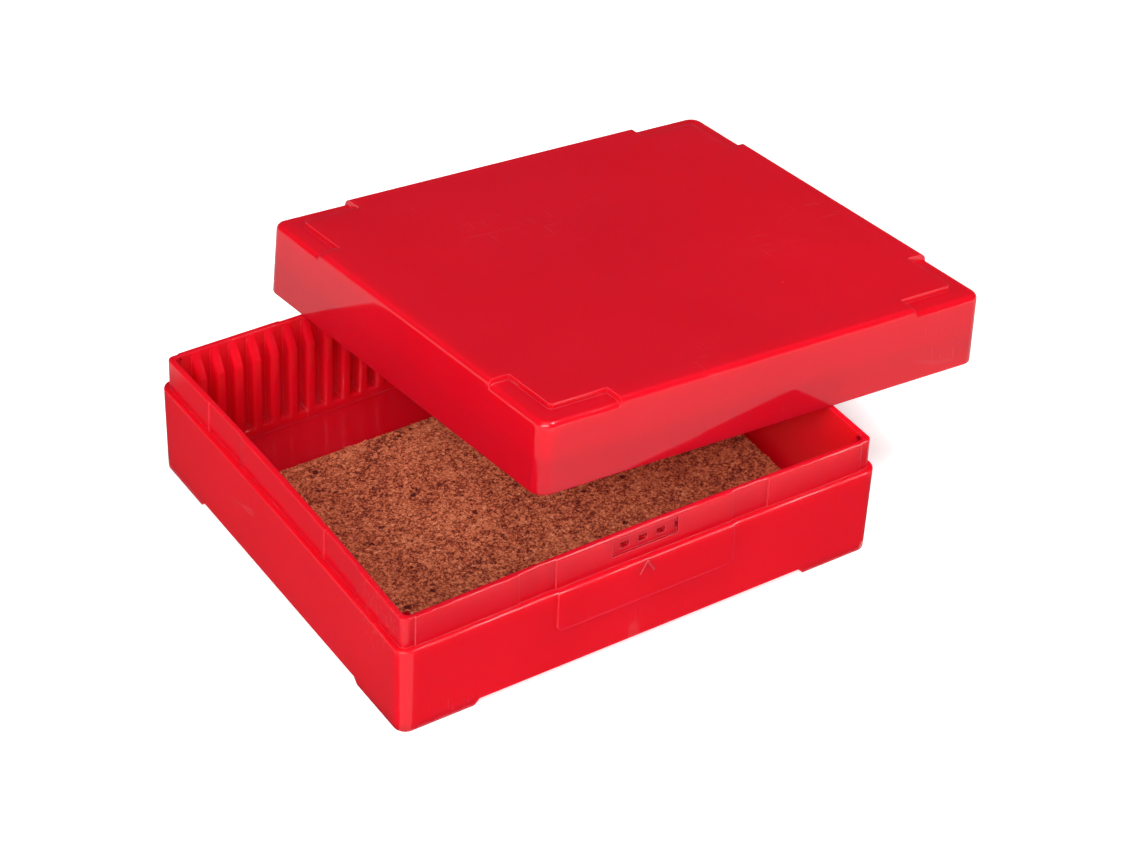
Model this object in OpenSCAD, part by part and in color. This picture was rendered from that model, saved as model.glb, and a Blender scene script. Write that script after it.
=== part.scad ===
// Storage box for microscope slides: a moulded tray with slotted walls, a cork
// liner on its floor, and its lift-off lid, laid askew on two of the tray's rims.
// +X runs along the row of slots, -Y is the latch side, +Z is up. Millimetres.

/* [Slides and slots] */
// Length of a slide, which lies across the box on its long edge
slide_l = 76.2; // [65:0.1:90]
// Height of a slide that stands on its long edge
slide_h = 25.4; // [20:0.1:32]
// How far a slide in its slot stands above the rim
slide_proud = 5.9; // [4:0.1:8]
// Play between a slide's ends and the two slotted walls
slide_play = 2.3; // [1:0.1:4]
// Number of slots
slots = 25; // [12:1:50]
// Distance from one slot to the next
slot_pitch = 3.58; // [3.1:0.01:5]
// Clear width of a slot between two ribs
slot_w = 1.7; // [1.4:0.01:2.4]
// Extra length that the two end slots share
end_play = 1.2; // [0.2:0.1:3]

/* [Ribs] */
// How far a rib stands out from the rim's inner face
rib_d = 2.65; // [1.5:0.05:4]
// Height of the slope at the top of a rib
rib_slope_h = 4.2; // [2:0.1:8]
// Radius between a rib's slope and its front
rib_tip_r = 0.8; // [0.2:0.1:1.5]
// Radius on the front edges of a rib and of the sill
rib_edge_r = 0.6; // [0.1:0.05:0.7]
// Height of the sill that joins the ribs at the floor
sill_h = 1.7; // [0.8:0.1:3]

/* [Tray] */
// Thickness of the floor
floor_t = 1.3; // [0.8:0.1:3]
// Thickness of the lip that carries the lid
lip_t = 1.15; // [0.9:0.05:2]
// Height of the lip above the shoulder
lip_h = 6.05; // [4.5:0.05:8]
// Width of the shoulder outside the lip
shoulder_w = 1; // [0.8:0.05:2]
// Draft of the outer walls, in degrees
wall_draft = 0.82; // [0.2:0.02:1.5]
// Draft of the inner walls, in degrees
inner_draft = 0.8; // [0.2:0.02:1.5]
// Radius of the tray's upright outer corners, at the shoulder
corner_r = 2.5; // [2.3:0.1:5]
// Radius of the lip's outer corners
lip_corner_r = 1.2; // [0.6:0.1:2]
// Radius of the inner corners, at the floor
inner_corner_r = 0.7; // [0.5:0.1:1.5]
// Radius where the inner walls meet the floor
floor_r = 0.4; // [0.1:0.05:0.45]
// Radius on the outer edges of the tray and on the lid's mouth
edge_r = 0.3; // [0.1:0.05:0.4]
// Radius on the edges of the lip
lip_edge_r = 0.2; // [0.05:0.05:0.3]

/* [Lip pads] */
// How far the pads stand out from the rest of the lip
pad_step = 0.22; // [0.1:0.02:0.4]
// Length of the middle pad on the two slotted walls
long_pad_l = 35; // [20:0.1:44]
// Length of the recess beside that pad
long_gap_l = 7.2; // [3:0.1:12]
// Plain length between the outer pads and the corners, slotted walls
long_end_l = 2.4; // [1.3:0.1:5]
// Length of the middle pad on the two end walls, whose outer pads end at the corners
short_pad_l = 28.4; // [16:0.1:34]
// Length of the recess beside that pad
short_gap_l = 11; // [4:0.1:13]

/* [Press panel and latch] */
// Length of the raised panel that is pressed to free the lid
panel_l = 35; // [20:0.5:50]
// Height of the panel below the shoulder
panel_h = 8.05; // [5:0.05:12]
// How far the panel stands out from the wall
panel_step = 0.3; // [0.15:0.05:0.6]
// Radius of the panel's two lower corners
panel_r = 1; // [0.5:0.1:3]
// Length of the latch recess in the lip
latch_l = 13; // [8:0.1:20]
// Place of the latch recess and of the pads beside it, from the wall's middle
latch_x = 0.25; // [-3:0.05:3]
// Height of the latch recess
latch_h = 3.4; // [2.6:0.1:3.6]
// Depth of the latch recess
latch_d = 0.45; // [0.35:0.05:0.6]
// Height of the bar left between the recess and the rim
latch_bar_h = 0.7; // [0.4:0.05:1]
// Length of a window through the recess into a slot
window_l = 1.7; // [1:0.05:1.9]
// Height of a window
window_h = 1.2; // [0.6:0.05:1.4]
// Height from a window's top to the rim
window_drop = 2; // [1.4:0.1:2.4]

/* [Lid] */
// How far the lid's mouth stands out from the tray, on each side
lid_over = 0.25; // [0:0.05:0.8]
// Gap between the lip's pads and the lid
lid_fit = 0.1; // [0.05:0.01:0.3]
// Gap above the rim inside the closed lid
lid_gap = 0.1; // [0.05:0.05:0.5]
// Draft of the lid's sides, in degrees
lid_draft = 1.15; // [0.3:0.05:2]
// Thickness of the lid's sides above the lip
lid_wall_t = 1.8; // [1.5:0.1:2.5]
// Thickness of the lid's top
top_t = 1.2; // [0.8:0.1:2]
// Room above the slides in the closed box
head_room = 0.25; // [0.1:0.05:3]
// Radius on the lid's upper edges
top_r = 1; // [0.4:0.1:1.2]
// Radius of the inner corners, at the lid's ceiling
hollow_corner_r = 1.2; // [0.8:0.1:2]
// Radius where the inner sides meet the ceiling
hollow_r = 0.5; // [0.1:0.1:0.7]
// Gap at each end of the bead that clicks into the latch recess
bead_end_gap = 0.5; // [0.2:0.1:2]
// Height of that bead
bead_h = 0.9; // [0.5:0.1:1.4]
// How far the bead reaches into the recess
bead_grip = 0.25; // [0.1:0.05:0.3]
// Gap between the bead and the bar above it in the closed box
bead_gap = 0.1; // [0.05:0.05:0.3]

/* [Stacking ledges and feet] */
// Depth of the corner ledges in the lid's top
ledge_d = 0.9; // [0.5:0.05:1.5]
// Width of a ledge
ledge_w = 3.9; // [2.5:0.1:7]
// Length of each leg of a ledge
ledge_l = 15.5; // [9:0.1:22]
// How far a ledge's upright side leans
ledge_lean = 0.2; // [0.05:0.05:0.5]
// Radius of the raised panel's corners between two legs
ledge_r = 0.9; // [0.4:0.1:2]
// Height of the feet
foot_h = 1.3; // [0.8:0.1:2.5]
// How far the end of a foot slants in over its height
foot_slant = 1.2; // [0.3:0.1:2.5]
// Gap between a foot and the ledge below it in a stack
stack_gap = 0.2; // [0.1:0.05:0.6]

/* [Cork liner] */
// Thickness of the cork sheet
cork_t = 1.5; // [0.8:0.1:4]
// Width of the cork sheet, across the box
cork_w = 48.5; // [30:0.5:64]
// Gap between the cork sheet and each end wall
cork_end_gap = 1.5; // [0.3:0.1:5]

/* [Lid as it is laid down] */
// Place where the lid's left side rests on the back rim
rest_x = -19.72; // [-35:0.01:20]
// Place where the lid's latch side rests on the right rim
rest_y = -28.99; // [-33:0.01:20]
// Turn of the lid, in degrees
lid_turn = 2.86; // [0:0.01:10]
// Lean of the lid about the line through its two rests, in degrees
lid_lean = 8.4; // [4:0.01:12]
// Gap that keeps the two surfaces apart where the lid rests
rest_gap = 0.01; // [0.005:0.005:0.1]

/* [Hidden] */
$fn = 48;
sink = 0.5;                     // how deep a piece that is moulded on starts inside its carrier
past = 1;                       // how far a cut runs past the face that it opens
least_flat = 0.1;               // least flat left between the two rounded edges of a rib

// Tray: heights from the table
floor_z = foot_h + floor_t;
cork_top_z = floor_z + cork_t;
slide_top_z = cork_top_z + slide_h;
rim_z = slide_top_z - slide_proud;
shoulder_z = rim_z - lip_h;

// Tray: half sizes at the rim's inner face, the pads' face and the shoulder
inner_half = [slots * slot_pitch + end_play, slide_l + slide_play] / 2;
pad_half = inner_half + [lip_t, lip_t];
base_half = pad_half + [shoulder_w, shoulder_w];
base_foot_out = -shoulder_z * tan(wall_draft);
inner_floor_out = -(rim_z - floor_z) * tan(inner_draft);
rib_t = slot_pitch - slot_w;

// Lid: heights from its mouth
closed_ceiling_z = slide_top_z - shoulder_z + head_room;
ledge_z = closed_ceiling_z + top_t;
lid_h = ledge_z + ledge_d;
rebate_h = lip_h + lid_gap;

// Lid: half sizes at its mouth, in its rebate and at the edge of its top
lid_half = base_half + [lid_over, lid_over];
rebate_half = pad_half + [lid_fit, lid_fit];
top_half = lid_half - lid_h * tan(lid_draft) * [1, 1];
lid_corner_r = corner_r + lid_over;
skirt_t = shoulder_w + lid_over - lid_fit;
panel_half = top_half - [ledge_w, ledge_w];
arm_half = top_half - [ledge_l, ledge_l];

// Where the lid rests: middle of its skirt on the middle of the lip
turn_x = [cos(lid_turn), sin(lid_turn)];
turn_y = [-sin(lid_turn), cos(lid_turn)];
lip_mid = base_half - (shoulder_w + lip_t / 2) * [1, 1];
skirt_mid = lid_half - skirt_t / 2 * [1, 1];
rest_a = [rest_x, lip_mid.y];
rest_b = [lip_mid.x, rest_y];
mouth = (rest_a * turn_x + skirt_mid.x) * turn_x + (rest_b * turn_y + skirt_mid.y) * turn_y;

// The lid leans about the line from one rest to the other, down beyond it
lean_axis = (rest_b - rest_a) / norm(rest_b - rest_a);
lean_side = [-lean_axis.y, lean_axis.x];
reach_a = lean_side * [(skirt_t - lip_t * sin(lid_turn)) / cos(lid_turn), lip_t] / 2;
reach_b = lean_side * [lip_t, (skirt_t + lip_t * sin(lid_turn)) / cos(lid_turn)] / 2;
lid_lift = max(reach_a, reach_b) * tan(lid_lean) + rest_gap;

// Extent of the laid lid along a direction across the table
function laid(v) =
    let (along = v * lean_axis, down = v * lean_side)
    let (flat = along * lean_axis + down * cos(lid_lean) * lean_side)
    [flat * turn_x, flat * turn_y, down * sin(lid_lean)];
function reach(p, half, r, z) =
    abs(p.x) * (half.x - r) + abs(p.y) * (half.y - r) + r * norm([p.x, p.y]) + p.z * z;
function lid_reach(v) =
    let (p = laid(v))
    v * rest_a + laid_shift(v)
    + max(reach(p, lid_half, lid_corner_r, 0), reach(p, top_half, lid_corner_r, lid_h));
function laid_shift(v) =
    let (d = mouth - rest_a)
    (d * lean_axis) * (v * lean_axis) + (d * lean_side) * cos(lid_lean) * (v * lean_side);

// Middle of the whole, which stands on the origin
front_y = -base_half.y - panel_step;
middle = [max(lid_reach([1, 0]), base_half.x) - base_half.x,
          max(lid_reach([0, 1]), base_half.y) + front_y] / 2;

// Points of an arc about c with radius r, from angle a0 to angle a1
function arc(c, r, a0, a1, steps = 3) =
    [for (i = [0:steps]) let (a = a0 + (a1 - a0) * i / steps) c + r * [cos(a), sin(a)]];

// Place of slot i along the box
function slot_x(i) = (i - (slots - 1) / 2) * slot_pitch;

// Block with rounded upright corners. half is half its size, r its corner
// radius and side its outline from bottom to top, as [out, z] points, where
// out counts outwards from the nominal face.
module swept_block(half, r, side) {
    last = len(side) - 1;
    straight = half - [r, r];
    corner = concat([[0, side[0].y]], [for (p = side) p + [r, 0]], [[0, side[last].y]]);
    for (turn = [0:3])
        translate([(turn == 0 || turn == 3 ? 1 : -1) * straight.x, (turn < 2 ? 1 : -1) * straight.y, 0])
            rotate([0, 0, 90 * turn])
                rotate_extrude(angle = 90)
                    polygon(corner);
    rotate([90, 0, 0])
        linear_extrude(2 * straight.y, center = true)
            polygon(both_sides(half.x, side));
    rotate([90, 0, 90])
        linear_extrude(2 * straight.x, center = true)
            polygon(both_sides(half.y, side));
}

// Outline of a bar with the same side on its left and its right
function both_sides(half_w, side) =
    concat([for (p = side) p + [half_w, 0]],
           [for (i = [len(side) - 1:-1:0]) [-side[i].x - half_w, side[i].y]]);

// Bar along X with the outline `side`, on the face at y, pointing to +Y
module bar_x(x0, x1, y, side) {
    translate([(x0 + x1) / 2, y, 0])
        rotate([90, 0, 90])
            linear_extrude(x1 - x0, center = true)
                polygon(side);
}

// A child and its mirror image, at -Y or at -X
module both_y() {
    children();
    mirror([0, 1, 0]) children();
}

// The tray's outer form, from the table to the shoulder
module tray_block() {
    swept_block(base_half, corner_r,
        concat(arc([base_foot_out - edge_r, edge_r], edge_r, -90, 0),
               arc([-edge_r, shoulder_z - edge_r], edge_r, 0, 90)));
}

// What is cut away below the floor, between the four L-shaped feet. The feet
// drop onto the ledges of the lid below, so both share their plan.
module between_feet() {
    arm = arm_half + stack_gap * [1, 1];
    widen = foot_slant * (foot_h + past) / foot_h;
    both_arms(arm, [[widen, -past], [0, foot_h]]);
    swept_block(panel_half + stack_gap * [1, 1], ledge_r,
        [[ledge_lean, -past], [0, foot_h]]);
}

// Two crossing bars, each right across the box, with the outline `side`
module both_arms(arm, side) {
    rotate([90, 0, 0])
        linear_extrude(2 * (lid_half.y + past), center = true)
            polygon(both_sides(arm.x, side));
    rotate([90, 0, 90])
        linear_extrude(2 * (lid_half.x + past), center = true)
            polygon(both_sides(arm.y, side));
}

// The lip above the shoulder, which is recessed between its pads
module lip() {
    difference() {
        swept_block([pad_half.x, pad_half.y - pad_step], lip_corner_r,
            concat([[0, shoulder_z - sink]], lip_edge(0)));
        for (turn = [-90, 90], m = [0, 1])
            rotate([0, 0, turn])
                mirror([m, 0, 0])
                    bar_x(short_pad_l / 2, short_pad_l / 2 + short_gap_l, pad_half.x,
                        concat([[past, shoulder_z], [-pad_step, shoulder_z]], lip_edge(-pad_step),
                               [[-pad_step - lip_edge_r, rim_z + past], [past, rim_z + past]]));
    }
    both_y() long_pads();
}

// Side of the lip's rounded upper edge, where its face lies at `out`
function lip_edge(out) = arc([out - lip_edge_r, rim_z - lip_edge_r], lip_edge_r, 0, 90);

// The pads of the slotted wall at +Y: one in the middle and one on each side
module long_pads() {
    side = concat([[-pad_step - sink / 2, shoulder_z - sink], [0, shoulder_z - sink]],
                  lip_edge(0), [[-pad_step - sink / 2, rim_z]]);
    gap_x = long_pad_l / 2 + long_gap_l;
    end_x = pad_half.x - long_end_l;
    bar_x(latch_x - long_pad_l / 2, latch_x + long_pad_l / 2, pad_half.y, side);
    bar_x(-end_x, latch_x - gap_x, pad_half.y, side);
    bar_x(latch_x + gap_x, end_x, pad_half.y, side);
}

// The tray's inside, with a rounded rim
module tray_hollow() {
    swept_block(inner_half, inner_corner_r - inner_floor_out,
        concat(arc([inner_floor_out - floor_r, floor_z + floor_r], floor_r, -90, 0),
               arc([lip_edge_r, rim_z - lip_edge_r], lip_edge_r, 180, 90),
               [[lip_edge_r, rim_z + past]]));
}

// The panel on the latch side, which follows the wall's draft up to the shoulder
module press_panel() {
    low_z = shoulder_z - panel_h;
    low_out = -panel_h * tan(wall_draft);
    mirror([0, 1, 0])
        intersection() {
            bar_x(-panel_l / 2, panel_l / 2, base_half.y + panel_step,
                concat([[-panel_step - sink, low_z], [low_out, low_z]],
                       arc([-edge_r, shoulder_z - edge_r], edge_r, 0, 90),
                       [[-panel_step - sink, shoulder_z]]));
            translate([0, base_half.y + panel_step + past, 0])
                rotate([90, 0, 0])
                    linear_extrude(panel_step + 2 * past)
                        polygon(concat(arc([panel_l / 2 - panel_r, low_z + panel_r], panel_r, -90, 0, 6),
                                       [[panel_l / 2, shoulder_z], [-panel_l / 2, shoulder_z]],
                                       arc([panel_r - panel_l / 2, low_z + panel_r], panel_r, 180, 270, 6)));
        }
}

// The recess that catches the lid's bead, and its windows into the slots
module latch_cut() {
    x0 = latch_x - latch_l / 2;
    x1 = latch_x + latch_l / 2;
    translate([x0, -pad_half.y - past, rim_z - latch_bar_h - latch_h])
        cube([latch_l, past + latch_d, latch_h]);
    for (i = [0:slots - 1])
        if (abs(slot_x(i) - latch_x) < (latch_l + window_l) / 2) {
            w0 = max(slot_x(i) - window_l / 2, x0);
            w1 = min(slot_x(i) + window_l / 2, x1);
            translate([w0, -pad_half.y - past, rim_z - window_drop - window_h])
                cube([w1 - w0, past + lip_t + sink, window_h]);
        }
}

// The ribs and the sill of the wall at +Y
module rib_row() {
    for (i = [1:slots - 1])
        translate([slot_x(i) - slot_pitch / 2, inner_half.y, 0])
            rib();
    bar_x(-inner_half.x, inner_half.x, inner_half.y,
        concat([[sink, floor_z - sink], [-rib_d, floor_z - sink]],
               arc([rib_edge_r - rib_d, floor_z + sill_h - rib_edge_r], rib_edge_r, 180, 90),
               [[sink, floor_z + sill_h]]));
}

// One rib on a face at y = 0. It slopes from the rim to its full depth and is
// rounded along the slope as along its upright front.
module rib() {
    top_z = rim_z - lip_edge_r;
    full_z = top_z - rib_slope_h;
    lean = atan2(rib_d, rib_slope_h);
    rib_h = top_z - floor_z;
    intersection() {
        translate([0, 0, floor_z - sink])
            linear_extrude(rib_h + sink)
                rib_plan(-rib_d, sink);
        bar_x(-rib_t, rib_t, 0,
            concat([[2 * sink, top_z], [2 * sink, floor_z - past], [-rib_d, floor_z - past]],
                   arc([rib_tip_r - rib_d, full_z - rib_tip_r * tan(lean / 2)], rib_tip_r, 180, 180 - lean),
                   [[0, top_z]]));
        translate([0, 0, top_z])
            rotate([-lean, 0, 0])
                translate([0, 0, -2 * rib_h])
                    linear_extrude(3 * rib_h)
                        rib_plan(0, 2 * rib_h);
    }
}

// Section of a rib with its two front edges rounded, from front to back
module rib_plan(front, back) {
    round_r = min(rib_edge_r, (rib_t - least_flat) / 2);
    polygon(concat([[rib_t / 2, back], [-rib_t / 2, back]],
                   arc([round_r - rib_t / 2, front + round_r], round_r, 180, 270),
                   arc([rib_t / 2 - round_r, front + round_r], round_r, 270, 360)));
}

// Moulded tray: floor, walls, lip, ribs, latch recess, press panel and feet in one piece
module base_tray() {
    color("#d01c30")
        on_table() {
            difference() {
                union() {
                    tray_block();
                    lip();
                    press_panel();
                }
                tray_hollow();
                between_feet();
                latch_cut();
            }
            both_y() rib_row();
        }
}

// The lid's outer form below height h, with its upper edge rounded
module lid_block(h) {
    out = -h * tan(lid_draft);
    swept_block(lid_half, lid_corner_r,
        concat(arc([-edge_r, edge_r], edge_r, -90, 0),
               arc([out - top_r, h - top_r], top_r, 0, 90, 5)));
}

// The lid's inside above the rebate, up to height h
module lid_hollow(h) {
    out = -h * tan(lid_draft);
    swept_block(lid_half - lid_wall_t * [1, 1], hollow_corner_r - out,
        concat([[-(rebate_h - sink) * tan(lid_draft), rebate_h - sink]],
               arc([out - hollow_r, h - hollow_r], hollow_r, 0, 90)));
}

// Plan of the lid's raised panel, which leaves an L-shaped ledge at each
// corner. inset draws it in on all sides, for the hollow below it.
module raised_plan(z0, z1, inset) {
    side = [[ledge_lean * (ledge_z - z0) / ledge_d, z0], [ledge_lean * (ledge_z - z1) / ledge_d, z1]];
    both_arms(arm_half - inset * [1, 1], side);
    swept_block(panel_half - inset * [1, 1], ledge_r, side);
}

// The rebate that takes the lip, with a rounded mouth
module lid_rebate() {
    swept_block(rebate_half, lip_corner_r,
        concat([[lip_edge_r, -past]],
               arc([lip_edge_r, lip_edge_r], lip_edge_r, -90, -180),
               [[0, rebate_h]]));
}

// The bead inside the lid's skirt that clicks under the bar of the latch recess
module latch_bead() {
    bead_l = latch_l - 2 * bead_end_gap;
    bead_d = lid_fit + bead_grip;
    top_z = lip_h - latch_bar_h - bead_gap;
    bar_x(latch_x - bead_l / 2, latch_x + bead_l / 2, -rebate_half.y,
        [[-sink, top_z - bead_h], [0, top_z - bead_h], [bead_d, top_z - bead_h / 2],
         [bead_d, top_z - bead_d / 2], [bead_d / 2, top_z], [-sink, top_z]]);
}

// The lid in its own frame, mouth down on z = 0
module lid_shape() {
    difference() {
        union() {
            lid_block(ledge_z);
            intersection() {
                lid_block(lid_h);
                raised_plan(ledge_z - past, lid_h + past, 0);
            }
        }
        lid_rebate();
        lid_hollow(closed_ceiling_z);
        intersection() {
            lid_hollow(closed_ceiling_z + ledge_d);
            raised_plan(rebate_h, closed_ceiling_z + 2 * ledge_d, top_t);
        }
    }
    latch_bead();
}

// Moulded lid, laid askew: its left side rests on the back rim and its latch
// side on the right rim, and it leans about the line between the two
module lid() {
    color("#d7233a")
        on_table()
            translate([rest_a.x, rest_a.y, rim_z + lid_lift])
                rotate(-lid_lean, [lean_axis.x, lean_axis.y, 0])
                    translate([mouth.x - rest_a.x, mouth.y - rest_a.y, 0])
                        rotate([0, 0, lid_turn])
                            lid_shape();
}

// Cork sheet that lies loose on the floor between the two rows of ribs
module cork_liner() {
    cork_l = 2 * (inner_half.x + inner_floor_out - cork_end_gap);
    color("#9a6a48")
        on_table()
            translate([-cork_l / 2, -cork_w / 2, floor_z])
                cube([cork_l, cork_w, cork_t]);
}

// Brings the middle of the whole over the origin
module on_table() {
    translate([-middle.x, -middle.y, 0]) children();
}

base_tray();
lid();
cork_liner();
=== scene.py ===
"""Dresses a microscope slide storage box: a moulded tray with slotted walls, the cork sheet on
its floor, and its lift-off lid, which lies askew on two of the tray's rims."""

import math

import bmesh
import bpy
from mathutils import Euler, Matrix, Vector


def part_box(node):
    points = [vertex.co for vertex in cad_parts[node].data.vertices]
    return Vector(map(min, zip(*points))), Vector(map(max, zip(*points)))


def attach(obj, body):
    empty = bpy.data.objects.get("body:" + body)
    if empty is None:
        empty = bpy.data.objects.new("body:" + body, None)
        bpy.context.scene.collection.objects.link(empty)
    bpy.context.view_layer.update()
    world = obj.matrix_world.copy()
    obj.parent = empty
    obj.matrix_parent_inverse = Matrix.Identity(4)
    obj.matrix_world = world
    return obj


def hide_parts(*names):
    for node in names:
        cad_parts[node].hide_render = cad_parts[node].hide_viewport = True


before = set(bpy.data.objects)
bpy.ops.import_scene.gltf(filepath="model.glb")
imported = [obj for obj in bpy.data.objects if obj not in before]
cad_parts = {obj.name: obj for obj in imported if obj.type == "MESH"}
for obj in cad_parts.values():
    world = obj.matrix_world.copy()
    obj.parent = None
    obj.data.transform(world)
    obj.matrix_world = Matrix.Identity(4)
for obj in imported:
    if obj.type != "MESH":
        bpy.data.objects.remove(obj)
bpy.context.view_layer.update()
scene = bpy.context.scene

# ---------------------------------------------------------------------------------------------
# View. A long lens looks down over the tray's near left corner, and colours are shown as they
# are lit, so that the red keeps its full strength.
view_film = 36
view_lens = 111.24
view_nearest = 0.01
view_place = (-0.27865, -0.40805, 0.39287)
view_turn = (51.919, -2.032, -32.755)

view = bpy.data.cameras.new("view")
view.sensor_width = view_film
view.lens = view_lens
view.clip_start = view_nearest
camera = bpy.data.objects.new("view", view)
camera.location = view_place
camera.rotation_euler = Euler([math.radians(angle) for angle in view_turn], "XYZ")
scene.collection.objects.link(camera)
scene.camera = camera
scene.view_settings.view_transform = "Standard"

# ---------------------------------------------------------------------------------------------
# Floor. A white table top under soft light. A thin veil of light over it, which only the direct
# view sees, keeps it white round the box and grows stronger further out.
white = (1, 1, 1, 1)
floor_half = 1.5
floor_white = (0.92, 0.92, 0.92, 1)
floor_roughness = 0.75
floor_glow = 0.05
veil_height = 0.00005
veil_light, veil_light_far = 0.50, 1.0
veil_near, veil_far = 0.15, 0.80


def link(name, data):
    """Adds a new object to the scene."""
    thing = bpy.data.objects.new(name, data)
    scene.collection.objects.link(thing)
    return thing


def flat_mesh(name, corners, z):
    """One level face through the given corners (x, y)."""
    mesh = bpy.data.meshes.new(name)
    mesh.from_pydata([(x, y, z) for x, y in corners], [], [tuple(range(len(corners)))])
    return mesh


def seen_only_by(thing, ray):
    """Hides a stage piece from every kind of ray but one."""
    for kind in ("camera", "diffuse", "glossy", "transmission", "volume_scatter", "shadow"):
        setattr(thing, "visible_" + kind, kind == ray)


floor_corners = [(-floor_half, -floor_half), (floor_half, -floor_half),
                 (floor_half, floor_half), (-floor_half, floor_half)]
floor = link("floor", flat_mesh("floor", floor_corners, 0))
white_top = bpy.data.materials.new("white table top")
white_top.use_nodes = True
surface = white_top.node_tree.nodes["Principled BSDF"]
surface.inputs["Base Color"].default_value = floor_white
surface.inputs["Roughness"].default_value = floor_roughness
surface.inputs["Emission Color"].default_value = white
surface.inputs["Emission Strength"].default_value = floor_glow
floor.data.materials.append(white_top)

veil = link("floor_veil", flat_mesh("floor veil", floor_corners, veil_height))
haze = bpy.data.materials.new("veil of light")
haze.use_nodes = True
nodes, links = haze.node_tree.nodes, haze.node_tree.links
nodes.clear()
clear = nodes.new("ShaderNodeBsdfTransparent")
shine = nodes.new("ShaderNodeEmission")
both = nodes.new("ShaderNodeAddShader")
place = nodes.new("ShaderNodeTexCoord")
away = nodes.new("ShaderNodeVectorMath")
away.operation = "LENGTH"
fade = nodes.new("ShaderNodeMapRange")
for label, value in (("From Min", veil_near), ("From Max", veil_far),
                     ("To Min", veil_light), ("To Max", veil_light_far)):
    fade.inputs[label].default_value = value
links.new(place.outputs["Object"], away.inputs[0])
links.new(away.outputs["Value"], fade.inputs["Value"])
links.new(fade.outputs[0], shine.inputs["Strength"])
links.new(clear.outputs[0], both.inputs[0])
links.new(shine.outputs[0], both.inputs[1])
links.new(both.outputs[0], nodes.new("ShaderNodeOutputMaterial").inputs["Surface"])
veil.data.materials.append(haze)
seen_only_by(veil, "camera")

# ---------------------------------------------------------------------------------------------
# Backdrop. A white dome stands round the table, so that a low view sees white behind the box.
# It is seen directly and lights nothing.
dome_radius = 1.6
dome_segments, dome_rings = 48, 24
dome_glow = 1.0

dome_skin = bmesh.new()
bmesh.ops.create_uvsphere(dome_skin, u_segments=dome_segments, v_segments=dome_rings,
                          radius=dome_radius)
dome_mesh = bpy.data.meshes.new("backdrop")
dome_skin.to_mesh(dome_mesh)
dome_skin.free()
dome = link("backdrop", dome_mesh)
paper = bpy.data.materials.new("white backdrop")
paper.use_nodes = True
surface = paper.node_tree.nodes["Principled BSDF"]
surface.inputs["Base Color"].default_value = (0, 0, 0, 1)
surface.inputs["Specular IOR Level"].default_value = 0
surface.inputs["Emission Color"].default_value = white
surface.inputs["Emission Strength"].default_value = dome_glow
dome.data.materials.append(paper)
seen_only_by(dome, "camera")

# ---------------------------------------------------------------------------------------------
# Reflection cards. Glowing cards lie on the table along the tray's four walls: dim near the box,
# a painted shadow of the tray on the table that the glossy walls mirror, and pale further out. A
# pale card fans out from the near corner and paints the reflected light band on that corner. Only
# mirrored light sees the cards.
tray_x0, tray_x1 = -0.06354, 0.03146
tray_y0, tray_y1 = -0.04841, 0.03440
card_reach = 0.110
card_lift = 0.0003
card_painted_shade, card_bright = 0.09, 0.62
card_dark_to, card_bright_from = 0.0165, 0.027
fan_left_start = (0.0004, 0.0011)
fan_front_start = (0.0023, 0.0)
fan_left_angle, fan_front_angle = 8.5, 28


def reflection_card(name, corners, axis, foot, sign, near=card_painted_shade):
    """A card that glows from near at the wall's foot to full brightness further out. A dim near
    paints shade and a bright near paints a highlight, both seen only in reflections.
    """
    card = link(name, flat_mesh(name, corners, card_lift))
    glow = bpy.data.materials.new(name)
    glow.use_nodes = True
    tree = glow.node_tree
    tree.nodes.clear()
    where = tree.nodes.new("ShaderNodeTexCoord")
    split = tree.nodes.new("ShaderNodeSeparateXYZ")
    ramp = tree.nodes.new("ShaderNodeMapRange")
    ramp.interpolation_type = "SMOOTHSTEP"
    ramp.inputs["From Min"].default_value = foot + sign * card_dark_to
    ramp.inputs["From Max"].default_value = foot + sign * card_bright_from
    ramp.inputs["To Min"].default_value = near
    ramp.inputs["To Max"].default_value = card_bright
    light = tree.nodes.new("ShaderNodeEmission")
    out = tree.nodes.new("ShaderNodeOutputMaterial")
    tree.links.new(where.outputs["Object"], split.inputs[0])
    tree.links.new(split.outputs[axis], ramp.inputs["Value"])
    tree.links.new(ramp.outputs[0], light.inputs["Strength"])
    tree.links.new(light.outputs[0], out.inputs["Surface"])
    card.data.materials.append(glow)
    seen_only_by(card, "glossy")


far_x0, far_x1 = tray_x0 - card_reach, tray_x1 + card_reach
far_y0, far_y1 = tray_y0 - card_reach, tray_y1 + card_reach
corner_left = (tray_x0 + fan_left_start[0], tray_y0 + fan_left_start[1])
corner_front = (tray_x0 + fan_front_start[0], tray_y0 + fan_front_start[1])
fan_left = (far_x0, corner_left[1] - card_reach * math.tan(math.radians(fan_left_angle)))
fan_front = (corner_front[0] + card_reach * math.tan(math.radians(fan_front_angle)), far_y0)
reflection_card("front card", [corner_front, fan_front, (far_x1, far_y0), (tray_x1, tray_y0)],
                "Y", tray_y0, -1)
# the corner card glows pale right up to the corner: a painted reflection, the corner's light band
reflection_card("corner highlight card", [corner_left, fan_left, (far_x0, far_y0), fan_front, corner_front],
                "Y", tray_y0, -1, near=card_bright)
reflection_card("left card", [(tray_x0, tray_y1), (far_x0, far_y1), fan_left, corner_left],
                "X", tray_x0, -1)
reflection_card("back card", [(tray_x1, tray_y1), (far_x1, far_y1),
                              (far_x0, far_y1), (tray_x0, tray_y1)], "Y", tray_y1, 1)
reflection_card("right card", [(tray_x1, tray_y0), (far_x1, far_y0),
                               (far_x1, far_y1), (tray_x1, tray_y1)], "X", tray_x1, 1)

# ---------------------------------------------------------------------------------------------
# Light. A large soft light overhead, a smaller one high at the right that draws the highlights
# along the rims, and two lower ones that light the front wall and the left end wall.
room_light = 0.04
light_aim = Vector((0, 0, 0.02))

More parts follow.
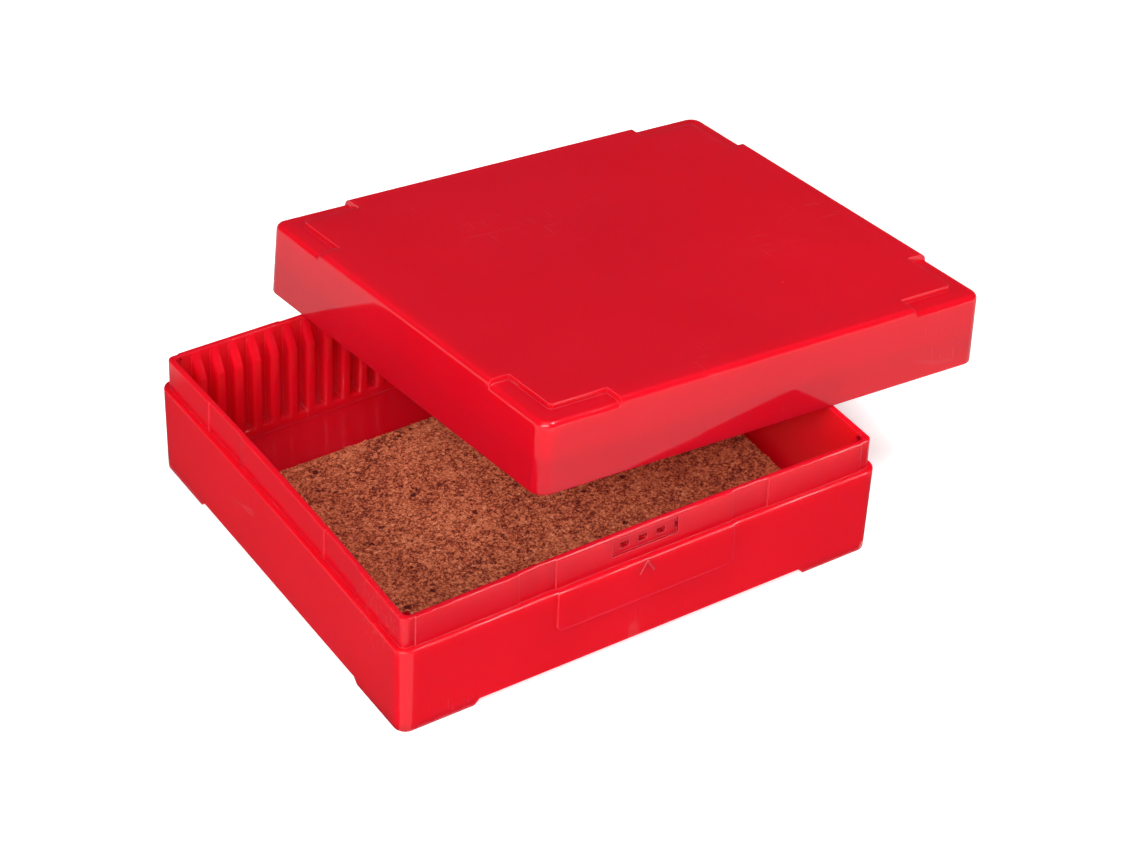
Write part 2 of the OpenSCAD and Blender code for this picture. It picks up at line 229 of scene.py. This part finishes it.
world = bpy.data.worlds.new("studio")
world.use_nodes = True
world.node_tree.nodes["Background"].inputs["Color"].default_value = white
world.node_tree.nodes["Background"].inputs["Strength"].default_value = room_light
scene.world = world


def softbox(name, place, size, power):
    """A square light of a given side and watts, aimed at the box."""
    light = bpy.data.lights.new(name, "AREA")
    light.shape = "RECTANGLE"
    light.size = light.size_y = size
    light.energy = power
    lamp = link(name, light)
    lamp.location = place
    lamp.rotation_euler = (light_aim - Vector(place)).to_track_quat("-Z", "Y").to_euler()


softbox("overhead softbox", (-0.15, -0.05, 1.20), size=0.8, power=2.2)
softbox("rim light", (0.49, -0.23, 0.96), size=0.35, power=5.9)
softbox("front softbox", (-0.54, -0.80, 0.80), size=0.6, power=7.4)
softbox("left softbox", (-0.85, -0.42, 0.60), size=0.5, power=5.6)

# ---------------------------------------------------------------------------------------------
# Tray. One moulding in glossy red polystyrene. Its thin walls are drawn in a little along their
# middle, as such mouldings are, and the press panel carries a small raised pointer.
tray_middle = (-0.016041, -0.007005)
tray_half = (0.0475, 0.0414)
rim_height = 0.0236
shoulder_height = 0.01755
panel_front = 0.0417
wall_draft = math.radians(0.82)

# skin of a moulding
merge_gap = 1e-6
crease_angle = math.radians(38)
flat_face_weight = 80

# red plastic
plastic_ior = 1.55
scatter_reach = (0.0060, 0.0003, 0.0005)
red_deep, red_clear = (0.77, 0.0048, 0.0180), (0.81, 0.0056, 0.0200)
# pale red painted along the crisp edges as a highlight
red_edge_highlight = (0.98, 0.120, 0.150, 1)
red_worn = (0.95, 0.42, 0.42, 1)
noise_path = (1, 0.7, 0.3)
drift_scale, drift_low, drift_high = 38, 0.35, 0.65
edge_radius = 0.00016
edge_samples = 2
edge_sharp, edge_flat = 0.80, 0.985
patch_scale, patch_low, patch_high = 45, 0.56, 0.70
scratch_low, scratch_high = 0.74, 0.80
scratch_one, scratch_one_turn = (160, 2600, 160), (0, 0, 0.5)
scratch_two, scratch_two_turn = (2400, 150, 300), (0, 0, 0.25)
grain_scale, grain_low, grain_high = 1500, 0.54, 0.66
grain_stretch = (1, 1, 0.5)
scuff_core = 0.3
speck_scale, speck_rarity, speck_size = 330.0, 0.86, 0.055
scratch_show, scuff_show, speck_show = 0.06, 0.045, 0.8
dull_scale, dull_low, dull_high = 110, 0.4, 0.7
gloss_roughness, dull_roughness, mark_roughness = 0.055, 0.10, 0.35
ripple_scale, ripple_depth = 70, 0.000006

# bow of the walls: how far the rim is drawn in, and where along and across a wall it begins
rim_bow = 0.0006
bow_power, bow_end_power = 1.6, 1.5
bow_y_from, bow_y_fade = 0.55, 0.25
bow_x_from, bow_x_fade = 0.75, 0.15
cut_step, cut_snap = 0.0034726, 1e-7
cuts_x, cuts_y = 14, 12

# pointer on the press panel
pointer_top = (0.0, 0.01725)
pointer_half_width = 0.00135
pointer_drop = 0.0024
pointer_stroke = 0.00035
pointer_crown = 0.55
pointer_rise, pointer_root = 0.00012, 0.0001

# latch recess and its windows
window_shift, window_reach = 0.0003, 0.0095
window_low, window_high = 0.0190, 0.0226
window_front = -0.0462
window_side_slope, window_side_area = 0.5, 3.2e-6

# painted shade: the tray's red is darkened a little, the windows' red much more
tray_red_painted_shade, window_red_painted_shade = 0.96, 0.45
tray_seed = 2.0
tray_scuffs = [((-0.0629, -0.0395, 0.0195), 0.0090), ((-0.0625, -0.0440, 0.0225), 0.0040),
               ((-0.0629, 0.0060, 0.0215), 0.0030)]


def moulding(node):
    """A merged copy of a solid's skin, as an open bmesh."""
    skin = bmesh.new()
    skin.from_mesh(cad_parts[node].data)
    bmesh.ops.remove_doubles(skin, verts=skin.verts, dist=merge_gap)
    return skin


def finish_moulding(skin, name, material):
    """Soft shading over the small radii, crisp faces between them."""
    for face in skin.faces:
        face.smooth = True
    for edge in skin.edges:
        if len(edge.link_faces) == 2:
            edge.smooth = edge.calc_face_angle(0) < crease_angle
    mesh = bpy.data.meshes.new(name)
    skin.to_mesh(mesh)
    skin.free()
    mesh.materials.append(material)
    piece = link(name, mesh)
    weighted = piece.modifiers.new("flat faces", "WEIGHTED_NORMAL")
    weighted.keep_sharp = True
    weighted.weight = flat_face_weight
    return piece


def plastic(name, seed, scuff_places=(), strength=1.0, scatter=1.0):
    """Glossy red polystyrene with faint ripples, fine scratches, scuffs, specks of dust, and a
    painted highlight on its crisp edges; strength scales its red as painted light and shade.
    """
    made = bpy.data.materials.new(name)
    made.use_nodes = True
    tree = made.node_tree
    shader = tree.nodes["Principled BSDF"]
    shader.inputs["IOR"].default_value = plastic_ior
    shader.inputs["Subsurface Weight"].default_value = scatter
    shader.inputs["Subsurface Radius"].default_value = scatter_reach
    shader.inputs["Subsurface Scale"].default_value = 1.0
    where = tree.nodes.new("ShaderNodeTexCoord").outputs["Object"]

    def join(a, b):
        tree.links.new(a, b)

    def math_node(kind, a, b):
        n = tree.nodes.new("ShaderNodeMath")
        n.operation = kind
        for i, value in enumerate((a, b)):
            if isinstance(value, (int, float)):
                n.inputs[i].default_value = value
            else:
                join(value, n.inputs[i])
        return n.outputs[0]

    def noise(scale, detail, shift, stretch=(1, 1, 1), turn=(0, 0, 0)):
        # each noise is read at a place of its own, which shift sets along one line
        placed = tree.nodes.new("ShaderNodeMapping")
        placed.inputs["Location"].default_value = tuple(shift * part for part in noise_path)
        placed.inputs["Scale"].default_value = stretch
        placed.inputs["Rotation"].default_value = turn
        join(where, placed.inputs["Vector"])
        n = tree.nodes.new("ShaderNodeTexNoise")
        n.inputs["Scale"].default_value = scale
        n.inputs["Detail"].default_value = detail
        join(placed.outputs[0], n.inputs["Vector"])
        return n.outputs[0]

    def band(value, low, high, to_low=0.0, to_high=1.0):
        n = tree.nodes.new("ShaderNodeMapRange")
        n.interpolation_type = "SMOOTHSTEP"
        for key, v in (("From Min", low), ("From Max", high),
                       ("To Min", to_low), ("To Max", to_high)):
            n.inputs[key].default_value = v
        join(value, n.inputs["Value"])
        return n.outputs[0]

    def blend(amount, under, over):
        n = tree.nodes.new("ShaderNodeMix")
        n.data_type = "RGBA"
        for i, colour in ((6, under), (7, over)):
            if isinstance(colour, tuple):
                n.inputs[i].default_value = colour
            else:
                join(colour, n.inputs[i])
        join(amount, n.inputs[0])
        return n.outputs[2]

    # fine scratches in two directions, gathered in patches
    patches = band(noise(patch_scale, 1, seed), patch_low, patch_high)
    one_way = band(noise(1, 0, seed + 3, scratch_one, scratch_one_turn),
                   scratch_low, scratch_high)
    other_way = band(noise(1, 0, seed + 5, scratch_two, scratch_two_turn),
                     scratch_low, scratch_high)
    scratches = math_node("MULTIPLY", math_node("MAXIMUM", one_way, other_way), patches)
    marks = math_node("MULTIPLY", scratches, scratch_show)

    # scuffed places, each a soft ball broken up by noise
    if scuff_places:
        grain = band(noise(grain_scale, 1, seed + 7, grain_stretch), grain_low, grain_high)
        scuffs = 0.0
        for centre, reach in scuff_places:
            away = tree.nodes.new("ShaderNodeVectorMath")
            away.operation = "DISTANCE"
            join(where, away.inputs[0])
            away.inputs[1].default_value = centre
            here = band(away.outputs["Value"], reach * scuff_core, reach, 1.0, 0.0)
            scuffs = math_node("MAXIMUM", scuffs, here)
        scuffs = math_node("MULTIPLY", scuffs, grain)
        marks = math_node("MAXIMUM", marks, math_node("MULTIPLY", scuffs, scuff_show))

    # specks of dust, one in a few of the cells
    cells = tree.nodes.new("ShaderNodeTexVoronoi")
    cells.feature = "F1"
    cells.inputs["Scale"].default_value = speck_scale
    join(where, cells.inputs["Vector"])
    speck_reach = band(cells.outputs["Color"], speck_rarity, 1.0, 0.0, speck_size)
    specks = math_node("LESS_THAN", cells.outputs["Distance"], speck_reach)
    marks = math_node("MAXIMUM", marks, math_node("MULTIPLY", specks, speck_show))

    # the crisp edges of the moulding are rounded a little, and carry a paler red there as a
    # painted highlight
    rounded = tree.nodes.new("ShaderNodeBevel")
    rounded.samples = edge_samples
    rounded.inputs["Radius"].default_value = edge_radius
    facing = tree.nodes.new("ShaderNodeVectorMath")
    facing.operation = "DOT_PRODUCT"
    join(rounded.outputs[0], facing.inputs[0])
    join(tree.nodes.new("ShaderNodeNewGeometry").outputs["Normal"], facing.inputs[1])
    edges = band(facing.outputs["Value"], edge_sharp, edge_flat, 1.0, 0.0)

    # colour: slow drift in depth of the red, a painted highlight on the edges, paler where it is
    # marked
    drift = band(noise(drift_scale, 1, seed + 11), drift_low, drift_high)
    # each piece's red is scaled by its strength, darker or paler in place of shade or light:
    # painted light
    red = blend(drift, tuple(c * strength for c in red_deep) + (1,),
                tuple(c * strength for c in red_clear) + (1,))
    join(blend(marks, blend(edges, red, red_edge_highlight), red_worn), shader.inputs["Base Color"])

    # gloss: mostly even, duller in slow patches and where it is marked
    dull = band(noise(dull_scale, 1, seed + 13), dull_low, dull_high,
                gloss_roughness, dull_roughness)
    dull = math_node("ADD", dull, math_node("MULTIPLY", marks, mark_roughness))
    join(dull, shader.inputs["Roughness"])

    # surface: broad ripples of the mould
    bump = tree.nodes.new("ShaderNodeBump")
    bump.inputs["Strength"].default_value = 1.0
    bump.inputs["Distance"].default_value = ripple_depth
    join(noise(ripple_scale, 1, seed + 17), bump.inputs["Height"])
    join(rounded.outputs[0], bump.inputs["Normal"])
    join(bump.outputs[0], shader.inputs["Normal"])
    return made


tray_skin = moulding("base_tray")

# cuts across the long faces, so that they can follow the bow
for axis, cuts in ((0, cuts_x), (1, cuts_y)):
    normal = Vector((axis == 0, axis == 1, 0))
    for i in range(-cuts, cuts + 1):
        at = normal * (tray_middle[axis] + i * cut_step)
        everything = tray_skin.verts[:] + tray_skin.edges[:] + tray_skin.faces[:]
        bmesh.ops.bisect_plane(tray_skin, geom=everything, dist=cut_snap, plane_co=at,
                               plane_no=normal)


def panel_face(p, rise):
    """Depth y of a point (x, z) that stands off the press panel's drafted face."""
    drafted = (shoulder_height - p.y) * math.tan(wall_draft)
    return tray_middle[1] - panel_front + drafted - rise


def add_stroke(skin, a, b):
    """A raised stroke on the press panel, from a to b (x, z), narrower at its crown."""
    along = (b - a).normalized()
    side = Vector((-along.y, along.x)) * pointer_stroke / 2
    crown = side * pointer_crown
    low = [skin.verts.new((p.x, panel_face(p, -pointer_root), p.y))
           for p in (a - side, b - side, b + side, a + side)]
    high = [skin.verts.new((p.x, panel_face(p, pointer_rise), p.y))
            for p in (a - crown, b - crown, b + crown, a + crown)]
    sides = [[low[i], low[(i + 1) % 4], high[(i + 1) % 4], high[i]] for i in range(4)]
    made = [skin.faces.new(corners) for corners in [high, low[::-1]] + sides]
    bmesh.ops.recalc_face_normals(skin, faces=made)
    for flat in made:
        flat.material_index = 1


# the raised pointer, a small chevron above the place to press
tip = Vector((tray_middle[0] + pointer_top[0], pointer_top[1]))
for sign in (-1, 1):
    add_stroke(tray_skin, tip + Vector((sign * pointer_half_width, -pointer_drop)), tip)

# the bow: most at the middle of each rim, none at the foot, at the corners or well inside
for vert in tray_skin.verts:
    along_x = (vert.co.x - tray_middle[0]) / tray_half[0]
    along_y = (vert.co.y - tray_middle[1]) / tray_half[1]
    bow = rim_bow * max(0.0, vert.co.z / rim_height) ** bow_power
    ends_y = max(0.0, 1 - along_x ** 2) ** bow_end_power
    ends_x = max(0.0, 1 - along_y ** 2) ** bow_end_power
    near_y = min(1.0, max(0.0, (abs(along_y) - bow_y_from) / bow_y_fade))
    near_x = min(1.0, max(0.0, (abs(along_x) - bow_x_from) / bow_x_fade))
    vert.co.y -= math.copysign(bow * ends_y * near_y, along_y)
    vert.co.x -= math.copysign(bow * ends_x * near_x, along_x)

# the narrow sides of the latch recess, its windows and its end slot take a darker red, painted
# shade
for face in tray_skin.faces:
    at = face.calc_center_median()
    in_recess = (abs(at.x - tray_middle[0] - window_shift) < window_reach
                 and window_low < at.z < window_high and at.y < window_front)
    is_side = abs(face.normal.y) < window_side_slope and face.calc_area() < window_side_area
    if in_recess and is_side:
        face.material_index = 2

tray = finish_moulding(tray_skin, "tray", plastic("red tray plastic", tray_seed, tray_scuffs,
                                                  strength=tray_red_painted_shade))
tray.data.materials.append(plastic("red pointer plastic", tray_seed, scatter=0.0))
tray.data.materials.append(plastic("red window plastic in painted shade", tray_seed, strength=window_red_painted_shade,
                                   scatter=0.0))
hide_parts("base_tray")
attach(tray, "root")

# ---------------------------------------------------------------------------------------------
# Lid. The second moulding in the same red, drawn a little paler than the tray as painted light,
# lifted off and laid askew. Its top is raised between four L-shaped ledges that take the feet of
# the next box.
# painted light: the lid's red is made paler than the tray's
lid_red_painted_light = 1.06
lid_seed = 9.0
lid_scuffs = [((0.0590, 0.0250, 0.0330), 0.0050)]

lid = finish_moulding(moulding("lid"), "lid_shell", plastic("red lid plastic", lid_seed,
                                                            lid_scuffs, strength=lid_red_painted_light))
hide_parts("lid")
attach(lid, "root")

# ---------------------------------------------------------------------------------------------
# Cork sheet. Pressed cork crumb cut to a rectangle that lies loose on the floor. Its top and cut
# edges are crumbs of many shades, with dark gaps between them.
sheet_drop = 0.00006
sheet_inset = 0.00012

# crumbs that stand out of the sheet
crumb_width = 0.00034
crumb_rise = 0.00008
crumb_spacing = 0.00064
crumb_ragged = 0.5
crumb_seed = 7
crumb_density = 4.0e6
crumb_facing = -0.5
crumb_long, crumb_short, crumb_high = (0.45, 1.5), (0.40, 1.0), (0.5, 1.0)
crumb_shades = (0.25, 1.0)
seed_long, seed_short, seed_high, seed_spin, seed_shade, seed_tear = 1, 2, 3, 4, 5, 6

# cork, as its material
cork_roughness, cork_specular = 0.85, 0.25
tear_scale, tear_reach = 2600.0, 0.0005
cell_scale, fine_cell_scale = 1250.0, 2500.0
speckle_scale, speckle_grain, blotch_scale = 3600.0, 0.6, 160.0
gap_dark, gap_light = 0.01, 0.13
bark_scale = 640.0
bark_from, bark_sure = 0.965, 0.99
bark_core_in, bark_core_out = 0.28, 0.42
pit_strength, pit_depth = 0.8, 0.00012
tone_start = -0.83
tone_cells, tone_fine_cells, tone_speckle, tone_blotch = 0.32, 0.38, 1.10, 0.30
tone_crumb, tone_gap, tone_bark = 0.16, 0.22, -0.5
cork_tints = ((0.02, (0.090, 0.012, 0.009, 1)), (0.22, (0.320, 0.060, 0.032, 1)),
              (0.40, (0.640, 0.165, 0.072, 1)), (0.66, (0.830, 0.270, 0.125, 1)),
              (1.0, (0.97, 0.50, 0.28, 1)))

cork = bpy.data.materials.new("pressed cork")
cork.use_nodes = True
tree = cork.node_tree
shader = tree.nodes["Principled BSDF"]
shader.inputs["Roughness"].default_value = cork_roughness
shader.inputs["Specular IOR Level"].default_value = cork_specular
where = tree.nodes.new("ShaderNodeTexCoord").outputs["Object"]
shade = tree.nodes.new("ShaderNodeAttribute")
shade.attribute_name = "shade"


def texture(kind, read_at, **inputs):
    """A noise or a field of cells, read at a given place."""
    n = tree.nodes.new("ShaderNodeTex" + kind)
    for key, value in inputs.items():
        n.inputs[key].default_value = value
    tree.links.new(read_at, n.inputs["Vector"])
    return n


def channel(colour, i):
    """One channel of a cell's random colour."""
    n = tree.nodes.new("ShaderNodeSeparateXYZ")
    tree.links.new(colour, n.inputs[0])
    return n.outputs[i]


def spread_range(value, low, high, to_low=0.0, to_high=1.0, shape="LINEAR"):
    """Carries low..high over to to_low..to_high."""
    n = tree.nodes.new("ShaderNodeMapRange")
    n.interpolation_type = shape
    for key, v in (("From Min", low), ("From Max", high), ("To Min", to_low),
                   ("To Max", to_high)):
        n.inputs[key].default_value = v
    tree.links.new(value, n.inputs["Value"])
    return n.outputs[0]


def add_up(start, *parts):
    """start plus each value times its weight."""
    total = start
    for value, weight in parts:
        n = tree.nodes.new("ShaderNodeMath")
        n.operation = "MULTIPLY_ADD"
        n.inputs[1].default_value = weight
        tree.links.new(value, n.inputs[0])
        if isinstance(total, float):
            n.inputs[2].default_value = total
        else:
            tree.links.new(total, n.inputs[2])
        total = n.outputs[0]
    return total


# the crumbs' outlines are torn: their cells are read at a place that noise shifts
torn = texture("Noise", where, Scale=tear_scale, Detail=1.0)
shift = tree.nodes.new("ShaderNodeVectorMath")
shift.operation = "MULTIPLY_ADD"
shift.inputs[1].default_value = (tear_reach, tear_reach, tear_reach)
tree.links.new(torn.outputs["Color"], shift.inputs[0])
tree.links.new(where, shift.inputs[2])
torn_place = shift.outputs[0]
cells = channel(texture("Voronoi", torn_place, Scale=cell_scale).outputs["Color"], 0)
fine_cells = channel(texture("Voronoi", torn_place, Scale=fine_cell_scale).outputs["Color"], 0)
speckle = texture("Noise", where, Scale=speckle_scale, Detail=3.0,
                  Roughness=speckle_grain).outputs[0]
blotch = texture("Noise", where, Scale=blotch_scale, Detail=3.0).outputs[0]
cracks = texture("Voronoi", torn_place, Scale=cell_scale)
cracks.feature = "DISTANCE_TO_EDGE"
gap = spread_range(cracks.outputs["Distance"], gap_dark, gap_light, shape="SMOOTHSTEP")

# a few crumbs are bark, nearly black
bark = texture("Voronoi", torn_place, Scale=bark_scale)
is_bark = spread_range(channel(bark.outputs["Color"], 1), bark_from, bark_sure)
bark_core = spread_range(bark.outputs["Distance"], bark_core_in, bark_core_out, 1.0, 0.0)
bark_here = tree.nodes.new("ShaderNodeMath")
bark_here.operation = "MULTIPLY"
tree.links.new(is_bark, bark_here.inputs[0])
tree.links.new(bark_core, bark_here.inputs[1])

tone = add_up(tone_start, (cells, tone_cells), (fine_cells, tone_fine_cells),
              (speckle, tone_speckle), (blotch, tone_blotch), (shade.outputs["Fac"], tone_crumb),
              (gap, tone_gap), (bark_here.outputs[0], tone_bark))
tints = tree.nodes.new("ShaderNodeValToRGB")
stops = tints.color_ramp.elements
stops[0].position, stops[0].color = cork_tints[0]
stops[1].position, stops[1].color = cork_tints[-1]
for position, colour in cork_tints[1:-1]:
    stops.new(position).color = colour
tree.links.new(tone, tints.inputs[0])
tree.links.new(tints.outputs[0], shader.inputs["Base Color"])
pitted = tree.nodes.new("ShaderNodeBump")
pitted.inputs["Strength"].default_value = pit_strength
pitted.inputs["Distance"].default_value = pit_depth
tree.links.new(speckle, pitted.inputs["Height"])
tree.links.new(pitted.outputs[0], shader.inputs["Normal"])

# the block that the crumbs grow on, a little smaller than the sheet
cork_low, cork_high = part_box("cork_liner")
size, middle = cork_high - cork_low, (cork_low + cork_high) / 2
block = bmesh.new()
bmesh.ops.create_cube(block, size=1.0)
bmesh.ops.scale(block, verts=block.verts, vec=(size.x - 2 * sheet_inset,
                                               size.y - 2 * sheet_inset, size.z - sheet_drop))
bmesh.ops.translate(block, verts=block.verts,
                    vec=(middle.x, middle.y, middle.z - sheet_drop / 2))
cork_mesh = bpy.data.meshes.new("cork block")
block.to_mesh(cork_mesh)
block.free()
rough = link("cork block", cork_mesh)

crumbs = bpy.data.node_groups.new("cork crumbs", "GeometryNodeTree")
sockets = crumbs.interface
sockets.new_socket("Sheet", in_out="INPUT", socket_type="NodeSocketGeometry")
sizes = (("Crumb width", "NodeSocketFloat", crumb_width),
         ("Crumb rise", "NodeSocketFloat", crumb_rise),
         ("Crumb spacing", "NodeSocketFloat", crumb_spacing),
         ("Raggedness", "NodeSocketFloat", crumb_ragged),
         ("Seed", "NodeSocketInt", crumb_seed))
for label, kind, _ in sizes:
    sockets.new_socket(label, in_out="INPUT", socket_type=kind)
sockets.new_socket("Cork", in_out="OUTPUT", socket_type="NodeSocketGeometry")
given = crumbs.nodes.new("NodeGroupInput").outputs


def step(kind, **settings):
    """A node of the crumb group."""
    n = crumbs.nodes.new(kind)
    for key, value in settings.items():
        setattr(n, key, value)
    return n


def tie(a, b):
    crumbs.links.new(a, b)


def drawn(limits, seed):
    """A number for each crumb, drawn between two limits."""
    n = step("FunctionNodeRandomValue", data_type="FLOAT")
    n.inputs[2].default_value, n.inputs[3].default_value = limits
    n.inputs["Seed"].default_value = seed
    return n.outputs[1]


def times(a, b):
    n = step("ShaderNodeMath", operation="MULTIPLY")
    tie(a, n.inputs[0])
    tie(b, n.inputs[1])
    return n.outputs[0]


# crumbs sit on the top and on the four cut edges, not below
normal = step("GeometryNodeInputNormal")
split = step("ShaderNodeSeparateXYZ")
tie(normal.outputs[0], split.inputs[0])
outer = step("FunctionNodeCompare", data_type="FLOAT", operation="GREATER_THAN")
tie(split.outputs["Z"], outer.inputs["A"])
outer.inputs["B"].default_value = crumb_facing
scatter = step("GeometryNodeDistributePointsOnFaces", distribute_method="POISSON")
scatter.inputs["Density Max"].default_value = crumb_density
tie(given["Sheet"], scatter.inputs["Mesh"])
tie(outer.outputs[0], scatter.inputs["Selection"])
tie(given["Crumb spacing"], scatter.inputs["Distance Min"])
tie(given["Seed"], scatter.inputs["Seed"])

# one ragged chip, its corners pulled about
chip = step("GeometryNodeMeshIcoSphere")
chip.inputs["Radius"].default_value = 1.0
chip.inputs["Subdivisions"].default_value = 1
torn_by = step("FunctionNodeRandomValue", data_type="FLOAT_VECTOR")
torn_by.inputs[0].default_value, torn_by.inputs[1].default_value = (-1, -1, -1), (1, 1, 1)
torn_by.inputs["Seed"].default_value = seed_tear
tear = step("ShaderNodeVectorMath", operation="SCALE")
tie(torn_by.outputs[0], tear.inputs[0])
tie(given["Raggedness"], tear.inputs["Scale"])
ragged = step("GeometryNodeSetPosition")
tie(chip.outputs["Mesh"], ragged.inputs["Geometry"])
tie(tear.outputs[0], ragged.inputs["Offset"])
faceted = step("GeometryNodeSetShadeSmooth")
faceted.inputs["Shade Smooth"].default_value = False
tie(ragged.outputs[0], faceted.inputs[0])

# each chip is laid flat at its own size and turn
stretch = step("ShaderNodeCombineXYZ")
tie(times(drawn(crumb_long, seed_long), given["Crumb width"]), stretch.inputs[0])
tie(times(drawn(crumb_short, seed_short), given["Crumb width"]), stretch.inputs[1])
tie(times(drawn(crumb_high, seed_high), given["Crumb rise"]), stretch.inputs[2])
around = step("ShaderNodeCombineXYZ")
tie(drawn((0.0, math.tau), seed_spin), around.inputs["Z"])
to_rotation = step("FunctionNodeEulerToRotation")
tie(around.outputs[0], to_rotation.inputs[0])
turned = step("FunctionNodeRotateRotation", rotation_space="LOCAL")
tie(scatter.outputs["Rotation"], turned.inputs[0])
tie(to_rotation.outputs[0], turned.inputs[1])
laid = step("GeometryNodeInstanceOnPoints")
tie(scatter.outputs["Points"], laid.inputs["Points"])
tie(faceted.outputs[0], laid.inputs["Instance"])
tie(turned.outputs[0], laid.inputs["Rotation"])
tie(stretch.outputs[0], laid.inputs["Scale"])
tinted = step("GeometryNodeStoreNamedAttribute", data_type="FLOAT", domain="INSTANCE")
tinted.inputs["Name"].default_value = "shade"
tie(laid.outputs[0], tinted.inputs["Geometry"])
tie(drawn(crumb_shades, seed_shade), tinted.inputs["Value"])
together = step("GeometryNodeJoinGeometry")
tie(given["Sheet"], together.inputs[0])
tie(tinted.outputs[0], together.inputs[0])
made_real = step("GeometryNodeRealizeInstances")
tie(together.outputs[0], made_real.inputs[0])
dressed = step("GeometryNodeSetMaterial")
dressed.inputs["Material"].default_value = cork
tie(made_real.outputs[0], dressed.inputs["Geometry"])
crumbs_out = step("NodeGroupOutput")
tie(dressed.outputs[0], crumbs_out.inputs[0])

growth = rough.modifiers.new("cork crumbs", "NODES")
growth.node_group = crumbs
for item in sockets.items_tree:
    for label, _, value in sizes:
        if item.name == label and item.in_out == "INPUT":
            growth[item.identifier] = value
bpy.context.view_layer.update()
grown = rough.evaluated_get(bpy.context.evaluated_depsgraph_get())
pressed = bpy.data.meshes.new_from_object(grown)
bpy.data.objects.remove(rough)
cork_sheet = link("cork_sheet", pressed)
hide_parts("cork_liner")
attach(cork_sheet, "root")
